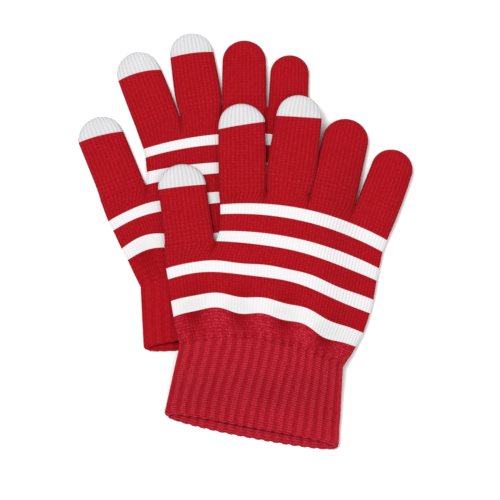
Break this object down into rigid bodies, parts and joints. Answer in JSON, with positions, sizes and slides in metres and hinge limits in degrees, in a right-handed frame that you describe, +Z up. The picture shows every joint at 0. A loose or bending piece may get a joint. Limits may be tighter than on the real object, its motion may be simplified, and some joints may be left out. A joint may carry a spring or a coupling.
{
  "type": "knitted touchscreen glove pair",
  "caption": "Pair of stretch knitted gloves lying flat, one across the other, with striped palms, ribbed cuffs and grey conductive tips on thumb, index and middle finger",
  "frame": {"origin": "middle of the pair's outline, on the surface that it lies on", "axes": "+Z up, +Y along the gloves towards the fingertips, +X towards the little fingers"},
  "size_m": [0.2008, 0.2498, 0.02],
  "materials": {
    "red_yarn": "matte fine ribbed knit, crimson red",
    "red_rib": "matte gathered rib knit, crimson red",
    "white_yarn": "matte fine ribbed knit, white",
    "grey_yarn": "matte fine ribbed knit with a slight metallic thread, pale grey",
    "elastic_thread": "covered elastic thread"
  },
  "bodies": {
    "under_glove": {"under_hem": "red_rib", "under_cuff": "red_rib", "under_elastic": "elastic_thread", "under_heel_band": "red_yarn", "under_stripe_4": "white_yarn", "under_band_3": "red_yarn", "under_stripe_3": "white_yarn", "under_band_2": "red_yarn", "under_stripe_2": "white_yarn", "under_band_1": "red_yarn", "under_stripe_1": "white_yarn", "under_knuckle_band": "red_yarn", "under_thumb_base": "red_yarn", "under_index_base": "red_yarn", "under_middle_base": "red_yarn", "under_ring_base": "red_yarn", "under_little_base": "red_yarn"},
    "top_glove": {"top_hem": "red_rib", "top_cuff": "red_rib", "top_elastic": "elastic_thread", "top_heel_band": "red_yarn", "top_stripe_4": "white_yarn", "top_band_3": "red_yarn", "top_stripe_3": "white_yarn", "top_band_2": "red_yarn", "top_stripe_2": "white_yarn", "top_band_1": "red_yarn", "top_stripe_1": "white_yarn", "top_knuckle_band": "red_yarn", "top_thumb_base": "red_yarn", "top_index_base": "red_yarn", "top_middle_base": "red_yarn", "top_ring_base": "red_yarn", "top_little_base": "red_yarn"},
    "under_thumb": {"under_thumb_end": "red_yarn", "under_thumb_tip": "grey_yarn"},
    "under_index": {"under_index_end": "red_yarn", "under_index_tip": "grey_yarn"},
    "under_middle": {"under_middle_end": "red_yarn", "under_middle_tip": "grey_yarn"},
    "under_ring": {"under_ring_end": "red_yarn"},
    "under_little": {"under_little_end": "red_yarn"},
    "top_thumb": {"top_thumb_end": "red_yarn", "top_thumb_tip": "grey_yarn"},
    "top_index": {"top_index_end": "red_yarn", "top_index_tip": "grey_yarn"},
    "top_middle": {"top_middle_end": "red_yarn", "top_middle_tip": "grey_yarn"},
    "top_ring": {"top_ring_end": "red_yarn"},
    "top_little": {"top_little_end": "red_yarn"}
  },
  "joints": [
    {"name": "top_glove_lifts_off", "type": "slide", "parent": "under_glove", "child": "top_glove", "axis": [0, 0, 1], "range_m": [0, 0.12]},
    {"name": "under_thumb_knuckle", "type": "hinge", "parent": "under_glove", "child": "under_thumb", "pos_m": [-0.08148, 0.04921, 0.00903], "axis": [0.9239, 0.3827, 0], "range_deg": [0, 80]},
    {"name": "under_index_knuckle", "type": "hinge", "parent": "under_glove", "child": "under_index", "pos_m": [-0.05907, 0.08988, 0.00903], "axis": [0.9317, 0.3633, 0], "range_deg": [0, 95]},
    {"name": "under_middle_knuckle", "type": "hinge", "parent": "under_glove", "child": "under_middle", "pos_m": [-0.02966, 0.09895, 0.00903], "axis": [0.9882, 0.153, 0], "range_deg": [0, 95]},
    {"name": "under_ring_knuckle", "type": "hinge", "parent": "under_glove", "child": "under_ring", "pos_m": [-0.00033, 0.09852, 0.00903], "axis": [1, 0, 0], "range_deg": [0, 95]},
    {"name": "under_little_knuckle", "type": "hinge", "parent": "under_glove", "child": "under_little", "pos_m": [0.02653, 0.0938, 0.00903], "axis": [0.999, -0.0436, 0], "range_deg": [0, 95]},
    {"name": "top_thumb_knuckle", "type": "hinge", "parent": "top_glove", "child": "top_thumb", "pos_m": [-0.03623, 0.02035, 0.0195], "axis": [0.9903, 0.1392, 0], "range_deg": [0, 80]},
    {"name": "top_index_knuckle", "type": "hinge", "parent": "top_glove", "child": "top_index", "pos_m": [-0.00161, 0.05306, 0.0195], "axis": [0.9999, 0.014, 0], "range_deg": [0, 95]},
    {"name": "top_middle_knuckle", "type": "hinge", "parent": "top_glove", "child": "top_middle", "pos_m": [0.02965, 0.05523, 0.01915], "axis": [0.989, -0.146, -0.0254], "range_deg": [0, 95]},
    {"name": "top_ring_knuckle", "type": "hinge", "parent": "top_glove", "child": "top_ring", "pos_m": [0.05715, 0.04686, 0.01265], "axis": [0.9572, -0.207, -0.2023], "range_deg": [0, 95]},
    {"name": "top_little_knuckle", "type": "hinge", "parent": "top_glove", "child": "top_little", "pos_m": [0.08448, 0.03409, 0.0096], "axis": [0.936, -0.3518, -0.008], "range_deg": [0, 95]}
  ]
}
